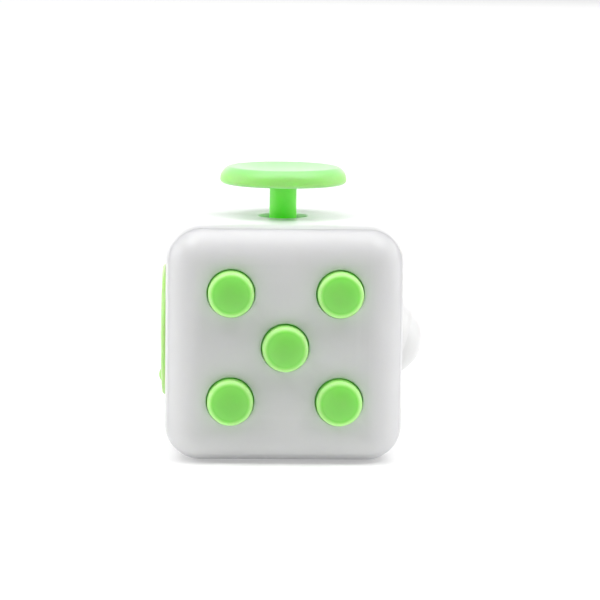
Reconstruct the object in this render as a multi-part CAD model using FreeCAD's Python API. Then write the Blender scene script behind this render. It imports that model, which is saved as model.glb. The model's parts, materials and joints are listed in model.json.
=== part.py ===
"""Fidget cube: a palm-sized cube with something to press, tilt, turn, flip or roll on five of its faces.

Row frame: millimetres, +Z up, +X right, -Y front. The origin is the middle of the flat bottom face.
Each face has its own frame, with x to the right and y up as seen from outside, and z outward from the face.
Mechanisms are drawn in the frame of their face and then put on it with on_face().
"""

import FreeCAD
import Part

import math
import os

from FreeCAD import Placement, Rotation, Vector

# ---------------------------------------------------------------- driving dimensions
SIDE = 33.0                 # length of the cube's edge
EDGE_R = 5.0                # rounding of every edge and corner
WALL = 2.0                  # wall thickness
SEAM_DEPTH = 3.0            # depth of the front cover, from the front face to the seam
SEAM_GROOVE = 0.06          # width of the fine line left at the seam
SEAM_GROOVE_DEPTH = 0.1
LIP_THICK = 0.9             # tongue of the front cover that enters the housing
LIP_LENGTH = 2.0
LIP_GAP = 0.08
LIP_END_GAP = 0.3
SNAP_LENGTH = 9.0           # snap ridges on the tongue
SNAP_R = 0.45
SNAP_AT = 1.1               # from the seam to the middle of a ridge
SNAP_SUNK = 0.45            # part of a ridge's radius that is inside the tongue
SNAP_SLACK = 0.06           # the groove that takes a ridge is this much larger
SNAP_END_SLACK = 0.2

BUTTON_PITCH = 7.5          # centre button to corner button, along X and along Z
BUTTON_R = 3.17
BUTTON_GAP = 0.16
BUTTON_HOLE_EDGE_R = 0.1
BUTTON_HEIGHT = 2.2         # how far a button stands proud
BUTTON_CROWN = 0.22
BUTTON_EDGE_R = 0.85
BUTTON_FLANGE_R = 4.1
BUTTON_FLANGE = 0.75
BUTTON_NUB_R = 1.2
BUTTON_NUB = 0.4
DOME_R = 2.8                # snap domes and silicone domes
DOME_HEIGHT = 0.85
DOME_THICK = 0.15
SOFT_FOOT_R = 3.1           # silicone dome: its foot
SOFT_FOOT_THICK = 0.25
SOFT_R = 2.4                # outside and inside of its wall where it leaves the foot
SOFT_INNER_R = 1.9
SOFT_TOP_R = 1.4            # outside and inside of its wall at the top
SOFT_TOP_INNER_R = 1.1
SOFT_WALL = 0.35
PLATE_HALF = 13.3
PLATE_THICK = 1.5
PLATE_CORNER_R = 2.0
PLATE_BOSS_AT = 12.0
PLATE_BOSS_R = 1.35

STICK_PIVOT = 5.5           # depth of the joystick's pivot below the top face
STICK_HOLE_R = 3.45
STICK_HOLE_EDGE_R = 0.25
STICK_SEAT_GAP = 0.15       # between the stick's dome and the wall above it
STICK_R = 1.93
STICK_DOME_R = 5.3
STICK_DOME_THICK = 1.0
STICK_DOME_CUT = 2.1        # height above the pivot where the dome ends
STICK_HUB_R = 1.6
STICK_FOOT_R = 3.0
STICK_FOOT_TOP = 2.1        # depth of the foot below the pivot
STICK_FOOT = 0.8
CAP_R = 9.0
CAP_UNDER = 4.65            # height of the cap's underside above the top face
CAP_THICK = 2.4
CAP_LOWER_R = 0.6           # rounding of the cap's lower edge
CAP_RIM_R = 7.9             # where the rounded side meets the rim
CAP_RIM_DROP = 0.06
CAP_DISH_R = 7.3
CAP_DISH_DEPTH = 0.55
SPIGOT_R = 1.25
SPIGOT_LENGTH = 1.25
RING_INNER_R = 4.4
RING_OUTER_R = 6.0
RING_HALF = 0.8
TRUNNION_R = 0.6
RUNNING_GAP = 0.05
EAR_IN = 6.3
EAR_THICK = 1.4
EAR_HALF = 2.0
STUB_SHORT = 0.3            # the pivot stubs end this far inside the ring
BRACKET_HALF = 3.0
BRACKET_BOSS_AT = 9.0
BRACKET_BOSS_R = 1.2
STICK_FLOOR = 10.7          # depth of the joystick bracket's floor below the top face
FLOOR_THICK = 1.0
SPRING_R = 1.9
SPRING_WIRE_R = 0.2
SPRING_TURNS = 3.5
SPRING_SEAT_DEPTH = 0.3
SPRING_SEAT_GAP = 0.15      # beside the wire in its groove, and around the peg
SPRING_SEAT_RIM = 1.0
SPRING_PEG = 0.4            # peg under the foot that keeps the spring centred

DIAL_R = 9.45
DIAL_PROUD = 0.85
DIAL_CROWN = 0.25
DIAL_EDGE_R = 0.7
DIAL_RECESS = 0.45
DIAL_GAP = 0.15
DIAL_SHAFT_R = 2.4
DIAL_HOLE_EDGE_R = 0.1
DIAL_END_PLAY = 0.1
DIAL_PILOT_TOP = 0.1        # depth below the face where the screw's hole ends
DIAL_NUB_AT = 6.6
DIAL_NUB_R = 1.25
DIAL_NUB_HEIGHT = 0.2       # how far the nub stands above the middle of the dial
DIAL_NUB_ROOT = 0.5
WASHER_R = 4.2
WASHER_THICK = 0.5

TOGGLE_PIVOT = 4.6          # depth of the flip switch's pivot below the right face
TOGGLE_BALL_R = 5.55        # the knob that the thumb flips
TOGGLE_BALL_AT = 2.96       # height of the knob's centre above the pivot
TOGGLE_SKIRT_R = 7.45       # sphere about the pivot that closes the hole at every angle
TOGGLE_SEAT_GAP = 0.32
TOGGLE_SKIRT_CUT = 0.8      # height above the pivot where the skirt ends
TOGGLE_SHELL = 1.3
TOGGLE_THROW = 18.0         # degrees either side of upright
TOGGLE_HUB_R = 1.7
TOGGLE_HUB_HALF = 3.0
TOGGLE_WEB_HALF = 0.9       # the web inside the knob that carries the hub
TOGGLE_WEB_REACH = 5.6
TOGGLE_TAIL_HALF = 1.6
TOGGLE_EAR_THICK = 1.4
TOGGLE_EAR_HALF = 1.8
TOGGLE_EAR_GAP = 0.2
PIN_R = 0.75
TOGGLE_TAIL = 3.0           # pivot to the centre of the tail's nose
TOGGLE_NOSE_R = 0.9
TOGGLE_FLOOR = 9.6
TOGGLE_BOSS_AT = 9.0
TOGGLE_PLATE_HALF = 4.0
TOGGLE_PLATE_REACH = 5.4
STRIP_THICK = 0.2           # the bent strip that the tail snaps over
STRIP_HALF = 1.4
STRIP_FOOT = 3.6
STRIP_KNEE = 2.2
STRIP_BEND = 0.12           # the knee is this much sharper on its inside
STRIP_CREST = 8.24          # depth of its hump below the face
STRIP_CREST_HALF = 0.15
STRIP_CREST_INNER = 0.05
STRIP_SLOPE_THICK = 0.28

GEAR_Y = 6.1                # gear axle above the middle of the back face
GEAR_DEPTH = 3.2            # gear axle below the back face
GEAR_TIP_R = 4.5
GEAR_ROOT_R = 3.6
GEAR_TEETH = 12
GEAR_WIDTH = 2.4
GEAR_EDGE_R = 0.5
TOOTH_FOOT = 0.29           # half width of a tooth, as a part of the pitch, at its foot and its tip
TOOTH_TIP = 0.14
GEAR_PITCH = 3.6            # from one gear's middle to the next
GEAR_SLOT_WIDTH = 2.8
GEAR_SLOT_R = 4.85
AXLE_R = 0.75
AXLE_HALF = 6.4
AXLE_END_GAP = 0.1
AXLE_EAR_IN = 5.3
AXLE_EAR_THICK = 1.2
AXLE_EAR_HALF = 1.6
AXLE_EAR_END = 5.0
AXLE_BOSS_AT = 8.4
AXLE_CAP_THICK = 1.2

BALL_R = 4.0
BALL_Y = -6.3
BALL_DEPTH = 2.6            # ball centre below the back face
BALL_SEAT_R = 4.12
BALL_TUBE_R = 5.1
BALL_TUBE_WALL = 0.9
BALL_TUBE_END = 8.4
BALL_LIP = 0.6              # lip under the wall that the cup stops against
BALL_CUP_GAP = 0.1
BALL_CUP_TOP = 0.8          # depths below the ball's centre
BALL_RACE_TOP = 1.4
BALL_RACE_END = 3.0
BALL_RACE_R = 4.5
BALL_RACE_GAP = 0.04
BALL_POCKET_R = 2.9
BALL_POCKET_GAP = 0.15
CUP_NUB_R = 1.0
CUP_NUB = 0.3
BALL_BOSS_AT = 7.6
BALL_PLATE_THICK = 1.0

DISH_LONG = 10.0            # half axes of the thumb dish in the bottom face
DISH_SHORT = 7.6
DISH_DEPTH = 1.5
DISH_LIP_R = 0.8            # rounding of the dish's rim
DISH_SPARE = 4.0            # how far the dish's barrel reaches past its rim

SCREW_R = 0.6
SCREW_HEAD_R = 1.15
SCREW_HEAD = 0.7
SCREW_HEAD_EDGE_R = 0.42
SCREW_SLOT_HALF = 0.13
SCREW_SLOT_REACH = 0.7
SCREW_SLOT_DEPTH = 0.25
SCREW_BITE = 2.2
SCREW_TIP_GAP = 0.3
SMALL = 0.02                # slack between pieces that only touch
OVERLAP = 0.2               # how far a shape is sunk into the one it is fused with
CUT_PAST = 1.0              # how far a cutter reaches past what it cuts
LEVEL_R = 0.4               # level disc in the middle of every crown and dish

HALF = SIDE / 2
INNER = HALF - WALL
SEAM_Y = -HALF + SEAM_DEPTH
UP = Vector(0, 0, 1)
RIGHT = Vector(1, 0, 0)
OUTER_MARGIN = 5.0          # how far cutters reach past the part
FACE_TURN = {"front": 0, "right": 90, "back": 180, "left": -90}


# ---------------------------------------------------------------- helpers
def on_face(shape, face):
    """The shape, moved from a face's own frame to the row frame."""
    if face == "top":
        move = Placement(Vector(0, 0, SIDE), Rotation())
    else:
        stand = Placement(Vector(0, -HALF, HALF), Rotation(RIGHT, 90))
        turn = Placement(Vector(), Rotation(UP, FACE_TURN[face]))
        move = turn.multiply(stand)
    return shape.transformed(move.toMatrix(), copy=True)


def cylinder(radius, low, high, x=0.0, y=0.0):
    """A cylinder along z between two heights."""
    return Part.makeCylinder(radius, high - low, Vector(x, y, low), UP)


def cylinder_x(radius, low, high, y=0.0, z=0.0):
    """A cylinder along x between two places."""
    return Part.makeCylinder(radius, high - low, Vector(low, y, z), RIGHT)


def cylinder_y(radius, low, high, x=0.0, z=0.0):
    """A cylinder along y between two places."""
    return Part.makeCylinder(radius, high - low, Vector(x, low, z), Vector(0, 1, 0))


def block(x0, x1, y0, y1, z0, z1):
    """A box from its lowest to its highest corner."""
    return Part.makeBox(x1 - x0, y1 - y0, z1 - z0, Vector(x0, y0, z0))


def ball(radius, x=0.0, y=0.0, z=0.0):
    return Part.makeSphere(radius, Vector(x, y, z))


def upper_cap(radius, centre_z, low):
    """The part of a ball above a height."""
    return ball(radius, z=centre_z).common(cylinder(radius + 1, low, centre_z + radius + 1))


def joined(first, *others):
    """One solid made of shapes that touch or overlap."""
    shape = first
    for other in others:
        shape = shape.fuse(other)
    return shape.removeSplitter()


def turned(*steps):
    """A solid of revolution about z. A step is (r, z) for a line, or (r, z, mid r, mid z) for an arc."""
    edges = []
    start = Vector(steps[0][0], 0, steps[0][1])
    last = start
    for step in steps[1:] + (steps[0][:2],):
        end = Vector(step[0], 0, step[1])
        if len(step) == 4:
            edges.append(Part.Arc(last, Vector(step[2], 0, step[3]), end).toShape())
        elif (end - last).Length > 1e-9:
            edges.append(Part.makeLine(last, end))
        last = end
    return Part.Face(Part.Wire(edges)).revolve(Vector(), UP, 360)


def corner_arc(r_mid, z_mid, radius, angle):
    """A point on a rounded corner, given the corner circle's centre and an angle in degrees from +r."""
    a = math.radians(angle)
    return r_mid + radius * math.cos(a), z_mid + radius * math.sin(a)


def crown(reach, centre_z, rim_z):
    """The steps from a rim inward: an arc that ends level, then a small level disc on the axis."""
    span = reach - LEVEL_R
    sag = centre_z - rim_z
    radius = (span ** 2 + sag ** 2) / (2 * abs(sag))
    half = math.asin(span / radius) / 2
    way = 1 if sag > 0 else -1
    middle = (LEVEL_R + radius * math.sin(half), centre_z - way * radius * (1 - math.cos(half)))
    return [(LEVEL_R, centre_z, *middle), (0, centre_z)]


def rounded_cube(half, radius):
    """A cube about the cube's centre with every edge and corner rounded."""
    box = block(-half, half, -half, half, HALF - half, HALF + half)
    return box.makeFillet(radius, box.Edges)


def rounded_square(half, radius, y0, y1):
    """A square bar along Y, about the cube's centre, with its four long edges rounded."""
    box = block(-half, half, y0, y1, HALF - half, HALF + half)
    long_edges = [e for e in box.Edges if abs(e.Vertexes[0].Y - e.Vertexes[1].Y) > 1e-6]
    return box.makeFillet(radius, long_edges)


def hole_cutter(radius, edge_r, depth):
    """A cutter for a round hole whose outer edge is rounded, from above z = 0 down to -depth."""
    middle = corner_arc(radius + edge_r, -edge_r, edge_r, 135)
    return turned(
        (0, -depth),
        (radius, -depth),
        (radius, -edge_r),
        (radius + edge_r, 0, *middle),
        (radius + edge_r, CUT_PAST),
        (0, CUT_PAST),
    )


def screw(x, y, seat, bite=SCREW_BITE):
    """A pan-head screw driven outward: its head sits under z = seat and its shank runs up past it."""
    low = seat - SCREW_HEAD
    mid_r, mid_z = SCREW_HEAD_R - SCREW_HEAD_EDGE_R, low + SCREW_HEAD_EDGE_R
    head = turned(
        (0, low),
        (mid_r, low),
        (SCREW_HEAD_R, mid_z, *corner_arc(mid_r, mid_z, SCREW_HEAD_EDGE_R, -45)),
        (SCREW_HEAD_R, seat),
        (0, seat),
    )
    shank = cylinder(SCREW_R, seat, seat + bite)
    half, reach, end = SCREW_SLOT_HALF, SCREW_SLOT_REACH, low + SCREW_SLOT_DEPTH
    slots = joined(
        block(-reach, reach, -half, half, low - CUT_PAST, end),
        block(-half, half, -reach, reach, low - CUT_PAST, end),
    )
    body = head.fuse(shank).removeSplitter().cut(slots)
    body.translate(Vector(x, y, 0))
    return body


def boss(x, y, end, radius, wall_depth=WALL):
    """A post on the inside of a wall, from the wall to z = -end."""
    return cylinder(radius, -end, -wall_depth + OVERLAP, x, y)


def pilot(x, y, end):
    """The screw's hole in the end of a post."""
    return cylinder(SCREW_R, -end - CUT_PAST, -end + SCREW_BITE, x, y)


# ---------------------------------------------------------------- places that several pieces share
BUTTONS = {
    "top_left": (-BUTTON_PITCH, BUTTON_PITCH),
    "top_right": (BUTTON_PITCH, BUTTON_PITCH),
    "centre": (0.0, 0.0),
    "bottom_left": (-BUTTON_PITCH, -BUTTON_PITCH),
    "bottom_right": (BUTTON_PITCH, -BUTTON_PITCH),
}
CLICKING = ("top_left", "centre", "bottom_right")
PLATE_BOSSES = [(x * PLATE_BOSS_AT, y * PLATE_BOSS_AT) for x in (-1, 1) for y in (-1, 1)]
STICK_BOSSES = [(-BRACKET_BOSS_AT, 0), (BRACKET_BOSS_AT, 0)]
TOGGLE_BOSSES = [(-TOGGLE_BOSS_AT, 0), (TOGGLE_BOSS_AT, 0)]
AXLE_BOSSES = [(-AXLE_BOSS_AT, GEAR_Y), (AXLE_BOSS_AT, GEAR_Y)]
BALL_BOSSES = [(-BALL_BOSS_AT, BALL_Y), (BALL_BOSS_AT, BALL_Y)]
GEARS = {"left": -GEAR_PITCH, "middle": 0.0, "right": GEAR_PITCH}

FLANGE_TOP = -WALL - SMALL
NUB_END = FLANGE_TOP - BUTTON_FLANGE - BUTTON_NUB
PLATE_TOP = NUB_END - DOME_HEIGHT - SMALL
PIVOT_Z = -STICK_PIVOT
FOOT_TOP_Z = PIVOT_Z - STICK_FOOT_TOP
FOOT_Z = FOOT_TOP_Z - STICK_FOOT
CUP_END = BALL_TUBE_END - DOME_HEIGHT - SMALL
SHAFT_END = -WALL - DIAL_END_PLAY - SMALL
SEAT_OUTER_R = SPRING_R + SPRING_WIRE_R + SPRING_SEAT_GAP
SEAT_INNER_R = SPRING_R - SPRING_WIRE_R - SPRING_SEAT_GAP
TOGGLE_EAR_IN = TOGGLE_HUB_HALF + TOGGLE_EAR_GAP


# ---------------------------------------------------------------- shells
def front_cover():
    """The front face with its rounded edges, and a tongue that snaps into the housing."""
    outer = rounded_cube(HALF, EDGE_R)
    cavity = rounded_cube(INNER, EDGE_R - WALL)
    front = block(-HALF, HALF, -HALF, SEAM_Y, 0, SIDE)
    shell = outer.cut(cavity).common(front)
    lip_half = INNER - LIP_GAP
    lip_r = EDGE_R - WALL - LIP_GAP
    lip_end = SEAM_Y + LIP_LENGTH
    lip = rounded_square(lip_half, lip_r, SEAM_Y - OVERLAP, lip_end)
    bore = rounded_square(lip_half - LIP_THICK, lip_r - LIP_THICK, SEAM_Y - CUT_PAST, lip_end + CUT_PAST)
    cover = joined(shell, lip.cut(bore).common(outer), *snap_ridges(SNAP_R, SNAP_LENGTH))
    groove = outer.cut(rounded_cube(HALF - SEAM_GROOVE_DEPTH, EDGE_R - SEAM_GROOVE_DEPTH))
    groove = groove.common(block(-HALF, HALF, SEAM_Y - SEAM_GROOVE, SEAM_Y, 0, SIDE))
    cover = cover.cut(groove)
    bosses = [boss(x, y, -PLATE_TOP, PLATE_BOSS_R) for x, y in PLATE_BOSSES]
    cover = joined(cover, *[on_face(b, "front") for b in bosses])
    for x, y in BUTTONS.values():
        cutter = hole_cutter(BUTTON_R + BUTTON_GAP, BUTTON_HOLE_EDGE_R, WALL + CUT_PAST)
        cutter.translate(Vector(x, y, 0))
        cover = cover.cut(on_face(cutter, "front"))
    for x, y in PLATE_BOSSES:
        cover = cover.cut(on_face(pilot(x, y, -PLATE_TOP), "front"))
    return cover


def snap_ridges(radius, length):
    """Half-round ridges on the outside of the tongue, or the grooves that take them."""
    y = SEAM_Y + SNAP_AT
    sink = INNER - LIP_GAP - radius * SNAP_SUNK
    shapes = []
    for side in (-1, 1):
        upright = Part.makeCylinder(radius, length, Vector(side * sink, y, HALF - length / 2), UP)
        level = Part.makeCylinder(radius, length, Vector(-length / 2, y, HALF + side * sink), RIGHT)
        shapes += [upright, level]
    return shapes


def dish(grow):
    """A barrel lying along X under the floor, whose top is the thumb dish, grown by some thickness."""
    top = DISH_DEPTH + grow
    along = DISH_LONG ** 2 / (2 * DISH_DEPTH) + DISH_DEPTH / 2 + grow
    across = DISH_SHORT ** 2 / (2 * DISH_DEPTH) + DISH_DEPTH / 2 + grow
    axis = Vector(0, 0, top - along)
    end = DISH_SHORT + DISH_SPARE
    drop = across - math.sqrt(across ** 2 - end ** 2)
    left, right = Vector(-end, 0, top - drop), Vector(end, 0, top - drop)
    low_right, low_left = Vector(end, 0, axis.z), Vector(-end, 0, axis.z)
    edges = [
        Part.Arc(left, Vector(0, 0, top), right).toShape(),
        Part.makeLine(right, low_right),
        Part.makeLine(low_right, low_left),
        Part.makeLine(low_left, left),
    ]
    half_turn = math.degrees(math.asin((DISH_LONG + DISH_SPARE) / along))
    profile = Part.Face(Part.Wire(edges))
    profile.rotate(axis, RIGHT, -half_turn)
    return profile.revolve(axis, RIGHT, 2 * half_turn)


def main_housing():
    """Five walls in one piece, all but the front, with the posts that carry the mechanisms."""
    outer = rounded_cube(HALF, EDGE_R)
    cavity = rounded_cube(INNER, EDGE_R - WALL)
    mouth = rounded_square(INNER, EDGE_R - WALL, SEAM_Y - CUT_PAST, SEAM_Y + EDGE_R - WALL)
    rear = block(-HALF, HALF, SEAM_Y, HALF, 0, SIDE)
    shell = outer.cut(cavity.fuse(mouth)).common(rear)

    behind_lip = SEAM_Y + LIP_LENGTH + LIP_END_GAP
    inside = [dish(WALL - OVERLAP).common(block(-INNER, INNER, behind_lip, INNER, WALL / 2, HALF))]
    inside += [on_face(boss(x, y, STICK_FLOOR, BRACKET_BOSS_R), "top") for x, y in STICK_BOSSES]
    inside += [on_face(boss(x, y, TOGGLE_FLOOR, BRACKET_BOSS_R), "right") for x, y in TOGGLE_BOSSES]
    inside += [on_face(axle_ear(side), "back") for side in (-1, 1)]
    inside += [on_face(boss(x, y, BALL_TUBE_END, BRACKET_BOSS_R), "back") for x, y in BALL_BOSSES]
    tube_end = -BALL_TUBE_END
    tube = cylinder(BALL_TUBE_R + BALL_TUBE_WALL, tube_end, -WALL + OVERLAP, 0, BALL_Y)
    inside.append(on_face(tube, "back"))
    shell = joined(shell, *inside)

    holes = [dish(0)]
    holes.append(on_face(hole_cutter(STICK_HOLE_R, STICK_HOLE_EDGE_R, WALL + CUT_PAST), "top"))
    holes.append(on_face(upper_cap(STICK_DOME_R + STICK_SEAT_GAP, PIVOT_Z, -WALL - CUT_PAST), "top"))
    shaft_hole = hole_cutter(DIAL_SHAFT_R + RUNNING_GAP, DIAL_HOLE_EDGE_R, WALL + CUT_PAST)
    holes.append(on_face(shaft_hole, "left"))
    holes.append(on_face(cylinder(DIAL_R + DIAL_GAP, -DIAL_RECESS, OUTER_MARGIN), "left"))
    seat_r = TOGGLE_SKIRT_R + TOGGLE_SEAT_GAP
    holes.append(on_face(upper_cap(seat_r, -TOGGLE_PIVOT, -WALL - CUT_PAST), "right"))
    for x in GEARS.values():
        low, high = x - GEAR_SLOT_WIDTH / 2, x + GEAR_SLOT_WIDTH / 2
        holes.append(on_face(cylinder_x(GEAR_SLOT_R, low, high, GEAR_Y, -GEAR_DEPTH), "back"))
    holes.append(on_face(ball(BALL_SEAT_R, 0, BALL_Y, -BALL_DEPTH), "back"))
    holes.append(on_face(cylinder(BALL_TUBE_R, tube_end - CUT_PAST, -WALL - BALL_LIP, 0, BALL_Y), "back"))
    holes += [on_face(pilot(x, y, STICK_FLOOR), "top") for x, y in STICK_BOSSES]
    holes += [on_face(pilot(x, y, TOGGLE_FLOOR), "right") for x, y in TOGGLE_BOSSES]
    holes += [on_face(pilot(x, y, AXLE_EAR_END), "back") for x, y in AXLE_BOSSES]
    holes += [on_face(pilot(x, y, BALL_TUBE_END), "back") for x, y in BALL_BOSSES]
    holes += snap_ridges(SNAP_R + SNAP_SLACK, SNAP_LENGTH + 2 * SNAP_END_SLACK)
    for hole in holes:
        shell = shell.cut(hole)
    return shell.makeFillet(DISH_LIP_R, [e for e in shell.Edges if is_dish_rim(e)])


def is_dish_rim(edge):
    """True for the edge where the thumb dish meets the flat bottom."""
    box = edge.BoundBox
    level = abs(box.ZMin) < SMALL and abs(box.ZMax) < SMALL
    return level and box.YLength > DISH_LONG and box.YMax < DISH_LONG + CUT_PAST


def axle_ear(side):
    """One ear of the gear axle: a wall with a slot open to the inside, and the post for its cap's screw."""
    x0, x1 = AXLE_EAR_IN, AXLE_BOSS_AT + BRACKET_BOSS_R
    y0, y1 = GEAR_Y - AXLE_EAR_HALF, GEAR_Y + AXLE_EAR_HALF
    ear = block(x0, x1, y0, y1, -AXLE_EAR_END, -WALL + OVERLAP)
    slot_x0, slot_x1 = x0 - CUT_PAST, AXLE_HALF + AXLE_END_GAP
    slot_end = -AXLE_EAR_END - CUT_PAST
    slot_half = AXLE_R + SMALL
    slot = block(slot_x0, slot_x1, GEAR_Y - slot_half, GEAR_Y + slot_half, slot_end, -GEAR_DEPTH)
    ear = ear.cut(slot).cut(cylinder_x(slot_half, slot_x0, slot_x1, GEAR_Y, -GEAR_DEPTH))
    if side < 0:
        ear = ear.mirror(Vector(), RIGHT)
    return ear


# ---------------------------------------------------------------- front face: five buttons
def button():
    """A crowned round cap on a flange that stops it coming out, with a nub that presses its dome."""
    top = BUTTON_HEIGHT
    shoulder = top - BUTTON_CROWN
    mid_r, mid_z = BUTTON_R - BUTTON_EDGE_R, shoulder - BUTTON_EDGE_R
    edge = corner_arc(mid_r, mid_z, BUTTON_EDGE_R, 45)
    flange_end = FLANGE_TOP - BUTTON_FLANGE
    return turned(
        (0, NUB_END),
        (BUTTON_NUB_R, NUB_END),
        (BUTTON_NUB_R, flange_end),
        (BUTTON_FLANGE_R, flange_end),
        (BUTTON_FLANGE_R, FLANGE_TOP),
        (BUTTON_R, FLANGE_TOP),
        (BUTTON_R, mid_z),
        (mid_r, shoulder, *edge),
        *crown(mid_r, top, shoulder),
    )


def snap_dome(apex):
    """A thin sprung steel dome whose top is at z = apex."""
    height = DOME_HEIGHT
    radius = (DOME_R ** 2 + height ** 2) / (2 * height)
    centre = apex - radius
    shell = ball(radius, z=centre).cut(ball(radius - DOME_THICK, z=centre))
    return shell.common(cylinder(DOME_R + 1, apex - height, apex + 1))


def silicone_dome(apex):
    """A soft moulded dome for a button that makes no sound."""
    low = apex - DOME_HEIGHT
    return turned(
        (SOFT_INNER_R, low),
        (SOFT_FOOT_R, low),
        (SOFT_FOOT_R, low + SOFT_FOOT_THICK),
        (SOFT_R, low + SOFT_FOOT_THICK),
        (SOFT_TOP_R, apex),
        (0, apex),
        (0, apex - SOFT_WALL),
        (SOFT_TOP_INNER_R, apex - SOFT_WALL),
    )


def button_plate():
    """The plate behind the buttons that the domes stand on."""
    low = PLATE_TOP - PLATE_THICK
    plate = block(-PLATE_HALF, PLATE_HALF, -PLATE_HALF, PLATE_HALF, low, PLATE_TOP)
    upright = [e for e in plate.Edges if abs(e.Vertexes[0].Z - e.Vertexes[1].Z) > 1e-6]
    plate = plate.makeFillet(PLATE_CORNER_R, upright)
    for x, y in PLATE_BOSSES:
        plate = plate.cut(cylinder(SCREW_R + RUNNING_GAP, low - CUT_PAST, PLATE_TOP + CUT_PAST, x, y))
    return plate


# ---------------------------------------------------------------- top face: joystick
def joystick_cap():
    """A thumb disc with rounded sides and a shallow dish, pressed on the stick's spigot."""
    low, top = CAP_UNDER, CAP_UNDER + CAP_THICK
    wide_z = low + CAP_LOWER_R
    lower_mid = corner_arc(CAP_R - CAP_LOWER_R, wide_z, CAP_LOWER_R, -45)
    reach, rise = CAP_R - CAP_RIM_R, top - CAP_RIM_DROP - wide_z
    side_r = (reach ** 2 + rise ** 2) / (2 * reach)
    half_turn = math.degrees(math.asin(rise / side_r)) / 2
    side_mid = corner_arc(CAP_R - side_r, wide_z, side_r, half_turn)
    dish_floor, dish_rim = top - CAP_DISH_DEPTH, top - CAP_RIM_DROP
    rim_mid = ((CAP_RIM_R + CAP_DISH_R) / 2, top)
    socket_top = low + SPIGOT_LENGTH + SMALL
    return turned(
        (0, socket_top),
        (SPIGOT_R, socket_top),
        (SPIGOT_R, low),
        (CAP_R - CAP_LOWER_R, low),
        (CAP_R, wide_z, *lower_mid),
        (CAP_RIM_R, top - CAP_RIM_DROP, *side_mid),
        (CAP_DISH_R, dish_rim, *rim_mid),
        *crown(CAP_DISH_R, dish_floor, dish_rim),
    )


def joystick_stem():
    """The stick: a spigot for the cap, a dome that keeps the hole closed, two pivot stubs and a foot."""
    dome = ball(STICK_DOME_R, z=PIVOT_Z).cut(ball(STICK_DOME_R - STICK_DOME_THICK, z=PIVOT_Z))
    dome = dome.common(cylinder(STICK_DOME_R + 1, PIVOT_Z + STICK_DOME_CUT, 0))
    stick = cylinder(STICK_R, PIVOT_Z + STICK_DOME_R - STICK_DOME_THICK, CAP_UNDER)
    spigot = cylinder(SPIGOT_R - SMALL / 2, CAP_UNDER - OVERLAP, CAP_UNDER + SPIGOT_LENGTH)
    hub = cylinder(STICK_HUB_R, FOOT_TOP_Z, PIVOT_Z + STICK_DOME_R - STICK_DOME_THICK / 2)
    stub_end = RING_OUTER_R - STUB_SHORT
    stubs = cylinder_y(TRUNNION_R, -stub_end, stub_end, z=PIVOT_Z)
    foot = turned(
        (0, FOOT_Z - SPRING_PEG),
        (SEAT_INNER_R, FOOT_Z - SPRING_PEG),
        (SEAT_INNER_R, FOOT_Z),
        (STICK_FOOT_R, FOOT_Z),
        (STICK_FOOT_R, FOOT_TOP_Z),
        (0, FOOT_TOP_Z),
    )
    return joined(dome, stick, spigot, hub, stubs, foot)


def joystick_gimbal_ring():
    """A ring that the stick tilts in one way, and that tilts the other way in its bracket."""
    ring = cylinder(RING_OUTER_R, PIVOT_Z - RING_HALF, PIVOT_Z + RING_HALF)
    ring = ring.cut(cylinder(RING_INNER_R, PIVOT_Z - RING_HALF - CUT_PAST, PIVOT_Z + RING_HALF + CUT_PAST))
    reach = EAR_IN + EAR_THICK
    for side in (-1, 1):
        ends = sorted((side * (RING_OUTER_R - 2 * OVERLAP), side * reach))
        ring = ring.fuse(cylinder_x(TRUNNION_R, *ends, z=PIVOT_Z))
    ring = ring.removeSplitter()
    bore_end = RING_OUTER_R + CUT_PAST
    return ring.cut(cylinder_y(TRUNNION_R + RUNNING_GAP, -bore_end, bore_end, z=PIVOT_Z))


def joystick_bracket():
    """A bar under the stick: two ears for the ring, a seat for the spring, and a screw at each end."""
    top = -STICK_FLOOR
    low = top - FLOOR_THICK
    end = BRACKET_BOSS_AT + BRACKET_BOSS_R
    parts = [block(-BRACKET_BOSS_AT, BRACKET_BOSS_AT, -BRACKET_HALF, BRACKET_HALF, low, top)]
    parts += [cylinder(BRACKET_BOSS_R, low, top, side * BRACKET_BOSS_AT) for side in (-1, 1)]
    parts.append(cylinder(STICK_FOOT_R + SPRING_SEAT_RIM, low, top))
    for side in (-1, 1):
        x0, x1 = sorted((side * EAR_IN, side * (EAR_IN + EAR_THICK)))
        parts.append(block(x0, x1, -EAR_HALF, EAR_HALF, low, PIVOT_Z))
        parts.append(cylinder_x(EAR_HALF, x0, x1, z=PIVOT_Z))
    bracket = joined(*parts)
    bracket = bracket.cut(cylinder_x(TRUNNION_R + RUNNING_GAP, -end, end, z=PIVOT_Z))
    seat = cylinder(SEAT_OUTER_R, top - SPRING_SEAT_DEPTH, top + CUT_PAST)
    bracket = bracket.cut(seat.cut(cylinder(SEAT_INNER_R, low, top + 2 * CUT_PAST)))
    for x, y in STICK_BOSSES:
        bracket = bracket.cut(cylinder(SCREW_R + RUNNING_GAP, low - CUT_PAST, top + CUT_PAST, x, y))
    return bracket


def joystick_spring():
    """The coil under the stick's foot that brings it back upright."""
    low = -STICK_FLOOR - SPRING_SEAT_DEPTH + SPRING_WIRE_R + SMALL
    high = FOOT_Z - SPRING_WIRE_R - SMALL
    height = high - low
    helix = Part.makeHelix(height / SPRING_TURNS, height, SPRING_R)
    section = Part.Wire(Part.makeCircle(SPRING_WIRE_R, Vector(SPRING_R, 0, 0), Vector(0, 1, 0)))
    coil = Part.Wire(helix.Edges).makePipeShell([section], True, True)
    coil.translate(Vector(0, 0, low))
    return coil


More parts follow.
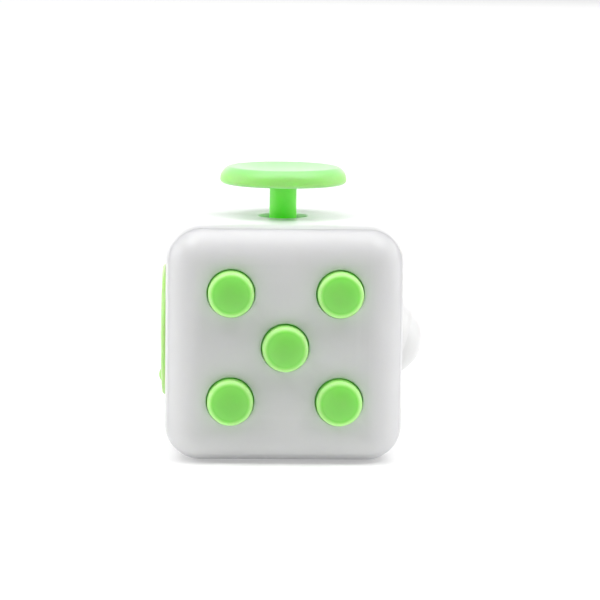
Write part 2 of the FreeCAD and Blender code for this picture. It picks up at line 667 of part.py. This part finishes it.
# ---------------------------------------------------------------- left face: dial
def dial():
    """A low disc with a small raised nub for the fingertip, and a shaft through the wall."""
    under = -DIAL_RECESS + DIAL_GAP
    top = DIAL_PROUD
    shoulder = top - DIAL_CROWN
    mid_r, mid_z = DIAL_R - DIAL_EDGE_R, shoulder - DIAL_EDGE_R
    disc = turned(
        (0, under),
        (DIAL_R, under),
        (DIAL_R, mid_z),
        (mid_r, shoulder, *corner_arc(mid_r, mid_z, DIAL_EDGE_R, 45)),
        *crown(mid_r, top, shoulder),
    )
    shaft = cylinder(DIAL_SHAFT_R, SHAFT_END, under + OVERLAP)
    body = joined(disc, shaft, nub_on_dial(top))
    return body.cut(cylinder(SCREW_R, SHAFT_END - CUT_PAST, -DIAL_PILOT_TOP))


def nub_on_dial(top):
    """A rounded bump near the dial's rim."""
    full = DIAL_NUB_HEIGHT + DIAL_NUB_ROOT
    radius = (DIAL_NUB_R ** 2 + full ** 2) / (2 * full)
    crest = top + DIAL_NUB_HEIGHT
    cap = ball(radius, 0, -DIAL_NUB_AT, crest - radius)
    return cap.common(cylinder(DIAL_NUB_R, crest - full, crest, 0, -DIAL_NUB_AT))


def dial_washer():
    """The washer that keeps the dial on its wall."""
    hole = cylinder(SCREW_R + RUNNING_GAP, SHAFT_END - WASHER_THICK - CUT_PAST, SHAFT_END + CUT_PAST)
    return cylinder(WASHER_R, SHAFT_END - WASHER_THICK, SHAFT_END).cut(hole)


# ---------------------------------------------------------------- right face: flip switch
def flip_toggle():
    """A domed knob on a round skirt, drawn upright, with a pivot tube and a tail for the spring."""
    pivot = -TOGGLE_PIVOT
    knob_z = pivot + TOGGLE_BALL_AT
    low = pivot + TOGGLE_SKIRT_CUT
    above = cylinder(HALF, low, OUTER_MARGIN)
    outer = ball(TOGGLE_BALL_R, z=knob_z).fuse(ball(TOGGLE_SKIRT_R, z=pivot))
    inner = ball(TOGGLE_BALL_R - TOGGLE_SHELL, z=knob_z)
    inner = inner.fuse(ball(TOGGLE_SKIRT_R - TOGGLE_SHELL, z=pivot))
    shell = outer.cut(inner).common(above)
    wide, long = TOGGLE_WEB_HALF, TOGGLE_WEB_REACH
    web = block(-wide, wide, -long, long, low, OUTER_MARGIN).common(outer)
    nose_z = pivot - TOGGLE_TAIL
    tail = block(-TOGGLE_TAIL_HALF, TOGGLE_TAIL_HALF, -TOGGLE_NOSE_R, TOGGLE_NOSE_R, nose_z, pivot)
    nose = cylinder_x(TOGGLE_NOSE_R, -TOGGLE_TAIL_HALF, TOGGLE_TAIL_HALF, z=nose_z)
    hub = cylinder_x(TOGGLE_HUB_R, -TOGGLE_HUB_HALF, TOGGLE_HUB_HALF, z=pivot)
    body = joined(shell, web, hub, tail, nose)
    return body.cut(cylinder_x(PIN_R + RUNNING_GAP, -HALF, HALF, z=pivot))


def flipped_down(shape):
    """The flip switch as it stands at rest, tipped to its lower stop."""
    down = shape.copy()
    down.rotate(Vector(0, 0, -TOGGLE_PIVOT), RIGHT, TOGGLE_THROW)
    return down


def toggle_pin():
    reach = TOGGLE_EAR_IN + TOGGLE_EAR_THICK
    return cylinder_x(PIN_R, -reach, reach, z=-TOGGLE_PIVOT)


def toggle_bracket():
    """A plate behind the flip switch, with two ears for its pin and a screw at each end."""
    top = -TOGGLE_FLOOR
    low = top - FLOOR_THICK
    pivot = -TOGGLE_PIVOT
    parts = [block(-TOGGLE_PLATE_REACH, TOGGLE_PLATE_REACH, -TOGGLE_PLATE_HALF, TOGGLE_PLATE_HALF, low, top)]
    parts.append(block(-TOGGLE_BOSS_AT, TOGGLE_BOSS_AT, -BRACKET_BOSS_R, BRACKET_BOSS_R, low, top))
    parts += [cylinder(BRACKET_BOSS_R, low, top, side * TOGGLE_BOSS_AT) for side in (-1, 1)]
    for side in (-1, 1):
        x0, x1 = sorted((side * TOGGLE_EAR_IN, side * (TOGGLE_EAR_IN + TOGGLE_EAR_THICK)))
        parts.append(block(x0, x1, -TOGGLE_EAR_HALF, TOGGLE_EAR_HALF, low, pivot))
        parts.append(cylinder_x(TOGGLE_EAR_HALF, x0, x1, z=pivot))
    bracket = joined(*parts)
    bracket = bracket.cut(cylinder_x(PIN_R + SMALL / 2, -HALF, HALF, z=pivot))
    for x, y in TOGGLE_BOSSES:
        bracket = bracket.cut(cylinder(SCREW_R + RUNNING_GAP, low - CUT_PAST, top + CUT_PAST, x, y))
    return bracket


def toggle_snap_spring():
    """A bent strip whose hump the tail has to pass, so that the switch snaps to either side."""
    floor = -TOGGLE_FLOOR + SMALL
    top = floor + STRIP_THICK
    right = [
        (STRIP_CREST_HALF, -STRIP_CREST),
        (STRIP_KNEE, top),
        (STRIP_FOOT, top),
        (STRIP_FOOT, floor),
        (STRIP_KNEE - STRIP_BEND, floor),
        (STRIP_CREST_INNER, -STRIP_CREST - STRIP_SLOPE_THICK),
    ]
    left = [(-y, z) for y, z in reversed(right)]
    points = [Vector(-STRIP_HALF, y, z) for y, z in right + left]
    outline = Part.makePolygon(points + points[:1])
    return Part.Face(outline).extrude(Vector(2 * STRIP_HALF, 0, 0))


# ---------------------------------------------------------------- back face: gears and rolling ball
def gear(x):
    """A small spur gear on the axle, with its tooth ends rounded for the thumb."""
    pitch = 2 * math.pi / GEAR_TEETH

    def at(radius, turn):
        return Vector(0, radius * math.cos(turn), radius * math.sin(turn))

    edges = []
    for tooth in range(GEAR_TEETH):
        middle = tooth * pitch
        foot_in, foot_out = middle - TOOTH_FOOT * pitch, middle + TOOTH_FOOT * pitch
        tip_in, tip_out = middle - TOOTH_TIP * pitch, middle + TOOTH_TIP * pitch
        valley, next_foot = middle + pitch / 2, foot_in + pitch
        tip = [at(GEAR_TIP_R, turn) for turn in (tip_in, middle, tip_out)]
        root = [at(GEAR_ROOT_R, turn) for turn in (foot_out, valley, next_foot)]
        edges.append(Part.makeLine(at(GEAR_ROOT_R, foot_in), tip[0]))
        edges.append(Part.Arc(*tip).toShape())
        edges.append(Part.makeLine(tip[2], root[0]))
        edges.append(Part.Arc(*root).toShape())
    blank = Part.Face(Part.Wire(edges)).extrude(Vector(GEAR_WIDTH, 0, 0))
    rim = cylinder_x(GEAR_TIP_R, 0, GEAR_WIDTH)
    rim = rim.makeFillet(GEAR_EDGE_R, [e for e in rim.Edges if len(e.Vertexes) == 1])
    wheel = blank.common(rim).cut(cylinder_x(AXLE_R + RUNNING_GAP, -CUT_PAST, GEAR_WIDTH + CUT_PAST))
    wheel.translate(Vector(x - GEAR_WIDTH / 2, GEAR_Y, -GEAR_DEPTH))
    return wheel


def gear_axle():
    return cylinder_x(AXLE_R, -AXLE_HALF, AXLE_HALF, GEAR_Y, -GEAR_DEPTH)


def axle_caps():
    """Two small blocks that close the axle's slots."""
    caps = []
    low = -AXLE_EAR_END - AXLE_CAP_THICK
    half = AXLE_R - SMALL
    for side in (-1, 1):
        x0, x1 = sorted((side * AXLE_EAR_IN, side * (AXLE_BOSS_AT + BRACKET_BOSS_R)))
        cap = block(x0, x1, GEAR_Y - AXLE_EAR_HALF, GEAR_Y + AXLE_EAR_HALF, low, -AXLE_EAR_END)
        x0, x1 = sorted((side * AXLE_EAR_IN, side * (AXLE_EAR_IN + AXLE_EAR_THICK - AXLE_END_GAP)))
        tooth = block(x0, x1, GEAR_Y - half, GEAR_Y + half, low, -GEAR_DEPTH - AXLE_R - SMALL)
        hole = cylinder(SCREW_R + RUNNING_GAP, low - CUT_PAST, 0, side * AXLE_BOSS_AT, GEAR_Y)
        caps.append(joined(cap, tooth).cut(hole))
    return Part.makeCompound(caps)


def ball_race():
    """The slippery ring that the ball turns in, free to turn in its cup."""
    ring = cylinder(BALL_RACE_R, -BALL_DEPTH - BALL_RACE_END, -BALL_DEPTH - BALL_RACE_TOP)
    ring = ring.cut(ball(BALL_R + BALL_RACE_GAP, z=-BALL_DEPTH))
    ring.translate(Vector(0, BALL_Y, 0))
    return ring


def ball_cup():
    """The cup behind the ball. It slides in the housing's tube and presses the click dome."""
    race_low = -BALL_DEPTH - BALL_RACE_END - SMALL
    pocket = -BALL_DEPTH - BALL_R - BALL_POCKET_GAP
    outer_r = BALL_TUBE_R - BALL_CUP_GAP
    bore_r = BALL_RACE_R + RUNNING_GAP
    low, top = -CUP_END, -BALL_DEPTH - BALL_CUP_TOP
    cup = turned(
        (0, low),
        (CUP_NUB_R, low),
        (CUP_NUB_R, low + CUP_NUB),
        (outer_r, low + CUP_NUB),
        (outer_r, top),
        (bore_r, top),
        (bore_r, race_low),
        (BALL_POCKET_R, race_low),
        (BALL_POCKET_R, pocket),
        (0, pocket),
    )
    cup.translate(Vector(0, BALL_Y, 0))
    return cup


def ball_backplate():
    """The lid of the ball's tube, which the click dome stands on."""
    top = -BALL_TUBE_END
    low = top - BALL_PLATE_THICK
    parts = [cylinder(BALL_TUBE_R + BALL_TUBE_WALL, low, top, 0, BALL_Y)]
    y0, y1 = BALL_Y - BRACKET_BOSS_R, BALL_Y + BRACKET_BOSS_R
    parts.append(block(-BALL_BOSS_AT, BALL_BOSS_AT, y0, y1, low, top))
    parts += [cylinder(BRACKET_BOSS_R, low, top, x, y) for x, y in BALL_BOSSES]
    plate = joined(*parts)
    for x, y in BALL_BOSSES:
        plate = plate.cut(cylinder(SCREW_R + RUNNING_GAP, low - CUT_PAST, top + CUT_PAST, x, y))
    return plate


# ---------------------------------------------------------------- the assembly
def screws(places, seat, face):
    """A group of equal screws, one at each place, under z = -seat."""
    return Part.makeCompound([on_face(screw(x, y, -seat, seat_bite(seat, face)), face) for x, y in places])


def seat_bite(seat, face):
    """How far a screw reaches past its head: through its plate and into the post."""
    plate = {"front": PLATE_THICK, "top": FLOOR_THICK, "right": FLOOR_THICK}.get(face, AXLE_CAP_THICK)
    return plate + SCREW_BITE - SCREW_TIP_GAP


def nodes():
    """Every piece of the cube by name, in the row frame."""
    made = {
        "main_housing": main_housing(),
        "front_cover": front_cover(),
        "button_plate": on_face(button_plate(), "front"),
        "button_plate_screws": screws(PLATE_BOSSES, -PLATE_TOP + PLATE_THICK, "front"),
        "joystick_cap": on_face(joystick_cap(), "top"),
        "joystick_stem": on_face(joystick_stem(), "top"),
        "joystick_gimbal_ring": on_face(joystick_gimbal_ring(), "top"),
        "joystick_bracket": on_face(joystick_bracket(), "top"),
        "joystick_spring": on_face(joystick_spring(), "top"),
        "joystick_bracket_screws": screws(STICK_BOSSES, STICK_FLOOR + FLOOR_THICK, "top"),
        "dial": on_face(dial(), "left"),
        "dial_washer": on_face(dial_washer(), "left"),
        "dial_screw": on_face(screw(0, 0, SHAFT_END - WASHER_THICK), "left"),
        "flip_toggle": on_face(flipped_down(flip_toggle()), "right"),
        "toggle_pin": on_face(toggle_pin(), "right"),
        "toggle_bracket": on_face(toggle_bracket(), "right"),
        "toggle_snap_spring": on_face(toggle_snap_spring(), "right"),
        "toggle_bracket_screws": screws(TOGGLE_BOSSES, TOGGLE_FLOOR + FLOOR_THICK, "right"),
        "gear_axle": on_face(gear_axle(), "back"),
        "axle_caps": on_face(axle_caps(), "back"),
        "axle_cap_screws": screws(AXLE_BOSSES, AXLE_EAR_END + AXLE_CAP_THICK, "back"),
        "roller_ball": on_face(ball(BALL_R, 0, BALL_Y, -BALL_DEPTH), "back"),
        "ball_race": on_face(ball_race(), "back"),
        "ball_cup": on_face(ball_cup(), "back"),
        "ball_backplate": on_face(ball_backplate(), "back"),
        "ball_backplate_screws": screws(BALL_BOSSES, BALL_TUBE_END + BALL_PLATE_THICK, "back"),
    }
    for name, x in GEARS.items():
        made["gear_" + name] = on_face(gear(x), "back")
    for name, (x, y) in BUTTONS.items():
        cap = button()
        cap.translate(Vector(x, y, 0))
        made["button_" + name] = on_face(cap, "front")
        under = snap_dome(NUB_END - SMALL) if name in CLICKING else silicone_dome(NUB_END - SMALL)
        under.translate(Vector(x, y, 0))
        kind = "click_dome_" if name in CLICKING else "silent_dome_"
        made[kind + name] = on_face(under, "front")
    click = snap_dome(-CUP_END - SMALL)
    click.translate(Vector(0, BALL_Y, 0))
    made["ball_click_dome"] = on_face(click, "back")
    return made


def main():
    os.makedirs("parts", exist_ok=True)
    for old in os.listdir("parts"):
        os.remove(os.path.join("parts", old))
    for name, shape in nodes().items():
        print(f"{name:26s} solids {len(shape.Solids)}, valid {shape.isValid()}, {shape.Volume:9.3f} mm3")
        shape.exportStep(os.path.join("parts", name + ".step"))


main()
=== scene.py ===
import json
import math

import bpy
from mathutils import Matrix, Vector

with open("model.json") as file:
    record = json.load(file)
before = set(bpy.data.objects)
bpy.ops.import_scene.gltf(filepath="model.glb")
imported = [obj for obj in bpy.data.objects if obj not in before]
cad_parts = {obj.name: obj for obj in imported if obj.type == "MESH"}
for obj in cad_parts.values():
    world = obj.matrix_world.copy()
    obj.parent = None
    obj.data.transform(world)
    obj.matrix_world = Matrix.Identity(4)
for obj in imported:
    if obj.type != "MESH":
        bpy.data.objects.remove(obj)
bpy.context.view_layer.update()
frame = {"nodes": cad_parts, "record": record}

MM = 0.001
NODES = frame["nodes"]

# ---------------------------------------------------------------- camera
CAMERA_AT = Vector((-11.7, -359.3, 72.0)) * MM
YAW = math.radians(2.28)        # to the right
PITCH = math.radians(8.10)      # downwards
ROLL = math.radians(0.75)
SENSOR = 36.0
LENS = 151.86
CLIP_NEAR = 0.01
CLIP_FAR = 100


def make_camera():
    """The camera, turned by yaw, then tilted down by pitch, then rolled."""
    forward = Vector((math.sin(YAW) * math.cos(PITCH), math.cos(YAW) * math.cos(PITCH), -math.sin(PITCH)))
    right = Vector((math.cos(YAW), -math.sin(YAW), 0))
    up = right.cross(forward)
    across = right * math.cos(ROLL) + up * math.sin(ROLL)
    over = up * math.cos(ROLL) - right * math.sin(ROLL)
    data = bpy.data.cameras.new("camera")
    data.lens = LENS
    data.sensor_width = SENSOR
    data.clip_start = CLIP_NEAR
    data.clip_end = CLIP_FAR
    camera = bpy.data.objects.new("camera", data)
    turn = Matrix((across, over, -forward)).transposed().to_4x4()
    camera.matrix_world = Matrix.Translation(CAMERA_AT) @ turn
    bpy.context.scene.collection.objects.link(camera)
    bpy.context.scene.camera = camera


# ---------------------------------------------------------------- node helpers
MIX_INPUTS = (0, 6, 7)          # a Mix node's factor and its two colours
MIX_RESULT = 2                  # and the colour that comes out


class Nodes:
    """A few short calls for building a material's node tree. Most give back the new node's output."""

    def __init__(self, name):
        self.material = bpy.data.materials.new(name)
        self.material.use_nodes = True
        self.tree = self.material.node_tree
        self.shader = self.tree.nodes["Principled BSDF"]

    def add(self, kind, **settings):
        node = self.tree.nodes.new("ShaderNode" + kind)
        for key, value in settings.items():
            setattr(node, key, value)
        return node

    def link(self, source, target):
        self.tree.links.new(source, target)

    def place(self):
        """Where a point lies on its piece."""
        return self.add("TexCoord").outputs["Object"]

    def facing(self, axis):
        """How far the surface faces along an axis of the piece, from 0 to 1."""
        split = self.add("SeparateXYZ")
        self.link(self.add("TexCoord").outputs["Normal"], split.inputs[0])
        return self.math("ABSOLUTE", split.outputs[axis], 0.0)

    def noise(self, scale, detail=2.0, roughness=0.5, where=None):
        node = self.add("TexNoise")
        node.inputs["Scale"].default_value = scale
        node.inputs["Detail"].default_value = detail
        node.inputs["Roughness"].default_value = roughness
        self.link(where or self.place(), node.inputs["Vector"])
        return node.outputs["Fac"]

    def span(self, value, low, high, start=0.3, end=0.7):
        """value, taken from start..end to low..high."""
        node = self.add("MapRange")
        for key, number in (("From Min", start), ("From Max", end), ("To Min", low), ("To Max", high)):
            node.inputs[key].default_value = number
        self.link(value, node.inputs["Value"])
        return node.outputs["Result"]

    def mix(self, amount, first, second):
        """Two colours mixed by amount, a socket. A colour is a tuple or a socket."""
        node = self.add("Mix", data_type="RGBA")
        factor, color_a, color_b = (node.inputs[i] for i in MIX_INPUTS)
        for socket, value in ((color_a, first), (color_b, second)):
            if isinstance(value, tuple):
                socket.default_value = (*value, 1)
            else:
                self.link(value, socket)
        self.link(amount, factor)
        return node.outputs[MIX_RESULT]

    def math(self, kind, first, second):
        """One sum on two values. A value is a float or a socket."""
        node = self.add("Math", operation=kind)
        for socket, value in zip(node.inputs, (first, second)):
            if isinstance(value, float):
                socket.default_value = value
            else:
                self.link(value, socket)
        return node.outputs[0]

    def bump(self, height, strength, distance):
        node = self.add("Bump")
        node.inputs["Strength"].default_value = strength
        node.inputs["Distance"].default_value = distance
        self.link(height, node.inputs["Height"])
        self.link(node.outputs["Normal"], self.shader.inputs["Normal"])

    def set(self, **values):
        """Values for the shader's sockets. A value is a plain one or a socket."""
        for key, value in values.items():
            socket = self.shader.inputs[key.replace("_", " ")]
            if hasattr(value, "is_output"):
                self.link(value, socket)
            else:
                socket.default_value = value


# ---------------------------------------------------------------- finishes
# noise scales are per metre: 1000 gives patches of about 1 mm
FLOW_SCALE = 55                 # faint mottling from the flow of the plastic
FLOW_TONES = (0.965, 1.02)
WORN_SPAN = (0.53, 0.62)        # how sharp an edge is, from not worn to fully worn
WORN_AMOUNT = 0.10
WORN_TONE = 1.15
SPECK_SCALE = 4200              # small darker specks
SPECK_SPAN = (0.70, 0.76)
SPECK_AMOUNT = 0.06
SPECK_TONE = 0.7
SMEAR_SCALE = 140               # patches of uneven polish
GRAIN_SCALE = 2600              # spark-eroded grain, as bump
GRAIN_STRENGTH = 0.35
GRAIN_HEIGHT = 0.02 * MM
PLASTIC_IOR = 1.5
PAINTED_GLOW_GREEN = (0.10, 1.0, 0.04)  # the colour of a painted emission that stands in for light carried inside green plastic

HAIR_SCALE = 900                # hairline scratches on steel
HAIR_STRETCH = (1, 14, 14)
HAIR_ROUGH = (0.75, 1.3)        # how rough the scratches make it, against the steel's own roughness
HAIR_STRENGTH = 0.15
BRUSHED_STRENGTH = 0.2
HAIR_HEIGHT = 0.01 * MM
POLISH_SCALE = 160              # patches of uneven polish on steel
POLISH_TONE = 0.93

CLOUD_SCALE = 300               # silicone's faint clouds
CLOUD_TONE = 0.95
SILICONE_ROUGH = (0.5, 0.65)
SILICONE_SOFT = 0.4
SILICONE_DEPTH = 2              # in mm
SKIN_SCALE = 1500
SKIN_STRENGTH = 0.2


def scaled(color, factor):
    return tuple(min(1.0, c * factor) for c in color)


def paint_pale_light(n, tone, pale):
    """Painted light: tone, going to a pale colour where the surface faces along an axis as far as every span
    says.
    """
    color, axis, *spans = pale
    amount = 1.0
    for start, end in spans:
        amount = n.math("MULTIPLY", n.span(n.facing(axis), 0.0, 1.0, start, end), amount)
    return n.mix(amount, tone, color)


def moulded(name, color, rough, spread=0.07, soft=0.0, depth=1.6, reach=(1.0, 1.0, 0.9), pale=None, painted_glow=0.0):
    """Injection moulded plastic: fine spark-eroded grain, faint flow mottling, slightly worn high spots; and,
    where asked, painted light.

    soft is how much light goes in, depth in mm how far it gets, and reach how far each colour of it gets.
    pale is painted light: a pale colour and the spans, handed to the function above, for faces along one
    axis. glow is painted light too: an emission that lightens shaded places, standing in for the little light
    that the plastic carries into them from the rest of the piece.
    """
    n = Nodes(name)
    flow = n.noise(FLOW_SCALE, 3.0, 0.55)
    fine = n.noise(GRAIN_SCALE, 2.0, 0.6)
    low, high = (scaled(color, factor) for factor in FLOW_TONES)
    tone = n.mix(n.span(flow, 0.0, 1.0), low, high)
    sharp = n.add("NewGeometry").outputs["Pointiness"]
    tone = n.mix(n.span(sharp, 0.0, WORN_AMOUNT, *WORN_SPAN), tone, scaled(color, WORN_TONE))
    # painted light: a pale colour on the faces along one axis
    if pale:
        tone = paint_pale_light(n, tone, pale)
    specks = n.span(n.noise(SPECK_SCALE, 1.0, 0.4), 0.0, SPECK_AMOUNT, *SPECK_SPAN)
    tone = n.mix(specks, tone, scaled(color, SPECK_TONE))
    smear = n.noise(SMEAR_SCALE, 4.0, 0.6)
    roughness = n.span(smear, rough - spread, rough + spread)
    n.set(Base_Color=tone, Roughness=roughness, IOR=PLASTIC_IOR)
    if soft:
        n.set(Subsurface_Weight=soft, Subsurface_Scale=depth * MM, Subsurface_Radius=reach)
    # painted light: an emission that lightens the piece's shaded places
    if painted_glow:
        n.set(Emission_Color=(*PAINTED_GLOW_GREEN, 1), Emission_Strength=painted_glow)
    n.bump(fine, GRAIN_STRENGTH, GRAIN_HEIGHT)
    return n.material


def steel(name, color, rough, brushed=0.0):
    """Bright steel with hairline scratches and a little uneven polish."""
    n = Nodes(name)
    stretch = n.add("Mapping")
    stretch.inputs["Scale"].default_value = HAIR_STRETCH if brushed else (1, 1, 1)
    n.link(n.place(), stretch.inputs["Vector"])
    hair = n.noise(HAIR_SCALE, 3.0, 0.6, stretch.outputs["Vector"])
    polish = n.noise(POLISH_SCALE, 3.0, 0.55)
    tone = n.mix(n.span(polish, 0.0, 1.0), scaled(color, POLISH_TONE), color)
    smooth, scratched = (rough * factor for factor in HAIR_ROUGH)
    n.set(Base_Color=tone, Metallic=1.0, Roughness=n.span(hair, smooth, scratched))
    n.bump(hair, HAIR_STRENGTH + brushed * BRUSHED_STRENGTH, HAIR_HEIGHT)
    return n.material


def silicone(name, color):
    """Soft cloudy silicone."""
    n = Nodes(name)
    cloud = n.noise(CLOUD_SCALE, 3.0, 0.5)
    tone = n.mix(n.span(cloud, 0.0, 1.0), scaled(color, CLOUD_TONE), color)
    n.set(Base_Color=tone, Roughness=n.span(cloud, *SILICONE_ROUGH))
    n.set(Subsurface_Weight=SILICONE_SOFT, Subsurface_Scale=SILICONE_DEPTH * MM)
    n.bump(n.noise(SKIN_SCALE), SKIN_STRENGTH, GRAIN_HEIGHT)
    return n.material


# ---------------------------------------------------------------- materials
WHITE = (0.70, 0.70, 0.705)
GREEN = (0.37, 0.72, 0.215)
BUTTON_GREEN = (0.25, 0.62, 0.115)
CAP_GREEN = (0.35, 0.69, 0.20)
BUTTON_PAINTED_HIGHLIGHT = ((0.42, 0.76, 0.27), "Y", (0.995, 0.80), (0.1, 0.4))   # painted highlight: a pale band on a button's rounded edge
CAP_PAINTED_LIGHT = ((0.335, 0.70, 0.29), "Z", (0.3, 0.9))                    # painted light: a pale colour on the cap's dish and underside
DIAL_GREEN = (0.42, 0.81, 0.22)
# painted light: the stem's green is a brighter copy of the joystick's, for the light that reaches the stem in
# the cap's shade
STEM_PAINTED_LIGHT_GREEN = (0.23, 1.0, 0.10)
TOGGLE_WHITE = (0.79, 0.79, 0.785)
INNER_GREY = (0.62, 0.63, 0.64)
NEAR_BLACK = (0.03, 0.035, 0.03)
SILICONE_GREY = (0.72, 0.73, 0.70)
SPRING_STEEL = (0.60, 0.60, 0.61)
BALL_STEEL = (0.72, 0.72, 0.73)
SCREW_STEEL = (0.50, 0.50, 0.52)
GREEN_REACH = (0.5, 1.0, 0.35)

MATERIALS = {
    "shell_white": moulded("shell_white", WHITE, 0.38, 0.05, soft=0.7, depth=1.5),
    # the buttons carry a painted highlight on the rounded edge and a painted emission in their shade
    "button_green": moulded(
        "button_green", BUTTON_GREEN, 0.42, 0.04,
        soft=1.0, depth=5.0, reach=GREEN_REACH, pale=BUTTON_PAINTED_HIGHLIGHT, painted_glow=0.06,
    ),
    # the cap carries painted light, a pale colour, on its dish and underside
    "joystick_green": moulded(
        "joystick_green", CAP_GREEN, 0.40, 0.04,
        soft=1.0, depth=3.5, reach=GREEN_REACH, pale=CAP_PAINTED_LIGHT,
    ),
    "dial_green": moulded("dial_green", DIAL_GREEN, 0.34, 0.05, soft=0.9, depth=2.5, reach=GREEN_REACH),
    "toggle_white": moulded("toggle_white", TOGGLE_WHITE, 0.34, 0.04, soft=0.2),
    # the stem: a brighter copy of the green and a painted emission, painted light for the cap's shade
    "stem_painted_light_green": moulded(
        "stem_painted_light_green", STEM_PAINTED_LIGHT_GREEN, 0.36, 0.05,
        soft=1.0, depth=8.0, reach=GREEN_REACH, painted_glow=0.12,
    ),
    "gear_green": moulded("gear_green", GREEN, 0.40, 0.06, soft=0.6, depth=2.0, reach=GREEN_REACH),
    "inner_plastic": moulded("inner_plastic", INNER_GREY, 0.5),
    "dark_plastic": moulded("dark_plastic", NEAR_BLACK, 0.45),
    "silicone": silicone("silicone", SILICONE_GREY),
    "spring_steel": steel("spring_steel", SPRING_STEEL, 0.3, brushed=0.3),
    "ball_steel": steel("ball_steel", BALL_STEEL, 0.1),
    "screw_steel": steel("screw_steel", SCREW_STEEL, 0.35, brushed=0.2),
}
# the stem's own finish is a brighter green, painted light for the cap's shade
FINISH_OF = {"joystick_stem": "stem_painted_light_green"}


def dress_nodes():
    """Each CAD node takes the finish of its slot, or the one named for it alone."""
    slot_of = {s["node"]: s["material_slot"] for s in frame["record"]["subparts"]}
    for name, node in NODES.items():
        node.data.materials.clear()
        finish = FINISH_OF.get(name, slot_of[name])
        node.data.materials.append(MATERIALS[finish])


# ---------------------------------------------------------------- studio
FLOOR_HALF = 40.0
FLOOR_TONES = ((0.74,) * 3, (0.75,) * 3)
FLOOR_SCALE = 30
FLOOR_ROUGH = 0.9
FLOOR_SHINE = 0.1
FLOOR_GLOW = 0.26               # the floor is a light table, so shadows on it stay pale

# how high a direction points, from level at 0 to straight up at 1, and how bright the sky is there
SKY_STOPS = ((0.0, 0.0), (0.80, 0.0), (0.86, 0.12), (0.91, 0.12), (0.94, 1.0))
SKY_STRENGTH = 3.3

LIGHT_AIM = (0, 0, 0.02)
LIGHTS = (                      # name, place, the point it faces, width and height, power in watts
    ("back_light", (0, 1.2, 0.3), LIGHT_AIM, (2.0, 0.6), 6.5),
    ("backdrop_light", (0, 1.9, 0.6), (0, 1.9, 0), (4.0, 1.6), 16),
    ("left_light", (-0.8, 0.1, 0.25), LIGHT_AIM, (0.6, 0.4), 2.55),
    ("right_light", (0.8, 0.1, 0.25), LIGHT_AIM, (0.6, 0.4), 2.25),
    ("top_left_light", (-0.4, -0.2, 0.7), LIGHT_AIM, (0.3, 0.3), 2.4),
    ("top_right_light", (0.4, -0.2, 0.7), LIGHT_AIM, (0.3, 0.3), 2.6),
)


def make_light(name, at, aim, size, power):
    data = bpy.data.lights.new(name, "AREA")
    data.shape = "RECTANGLE"
    data.size, data.size_y = size
    data.energy = power
    light = bpy.data.objects.new(name, data)
    light.location = at
    light.rotation_euler = (Vector(aim) - Vector(at)).to_track_quat("-Z", "Y").to_euler()
    light.visible_camera = False
    bpy.context.scene.collection.objects.link(light)


def make_floor():
    """A wide plain floor."""
    mesh = bpy.data.meshes.new("floor")
    signs = ((-1, -1), (1, -1), (1, 1), (-1, 1))
    corners = [(x * FLOOR_HALF, y * FLOOR_HALF, 0) for x, y in signs]
    mesh.from_pydata(corners, [], [(0, 1, 2, 3)])
    floor = bpy.data.objects.new("floor", mesh)
    n = Nodes("floor_paper")
    tone = n.mix(n.span(n.noise(FLOOR_SCALE), 0.0, 1.0), *FLOOR_TONES)
    n.set(Base_Color=tone, Roughness=FLOOR_ROUGH, Specular_IOR_Level=FLOOR_SHINE)
    n.set(Emission_Color=(1, 1, 1, 1), Emission_Strength=FLOOR_GLOW)
    mesh.materials.append(n.material)
    bpy.context.scene.collection.objects.link(floor)


def make_world():
    """A soft light straight above, with a faint ring round it, and dark elsewhere."""
    world = bpy.data.worlds.new("studio")
    bpy.context.scene.world = world
    world.use_nodes = True
    tree = world.node_tree
    background = tree.nodes["Background"]
    coords = tree.nodes.new("ShaderNodeTexCoord")
    split = tree.nodes.new("ShaderNodeSeparateXYZ")
    ramp = tree.nodes.new("ShaderNodeValToRGB")
    tree.links.new(coords.outputs["Generated"], split.inputs[0])
    tree.links.new(split.outputs["Z"], ramp.inputs["Fac"])
    elements = ramp.color_ramp.elements
    while len(elements) < len(SKY_STOPS):
        elements.new(0.5)
    for element, (at, level) in zip(elements, SKY_STOPS):
        element.position = at
        element.color = (level, level, level, 1)
    tree.links.new(ramp.outputs["Color"], background.inputs["Color"])
    background.inputs["Strength"].default_value = SKY_STRENGTH


make_camera()
dress_nodes()
make_floor()
make_world()
for light in LIGHTS:
    make_light(*light)
bpy.context.scene.view_settings.view_transform = "Standard"
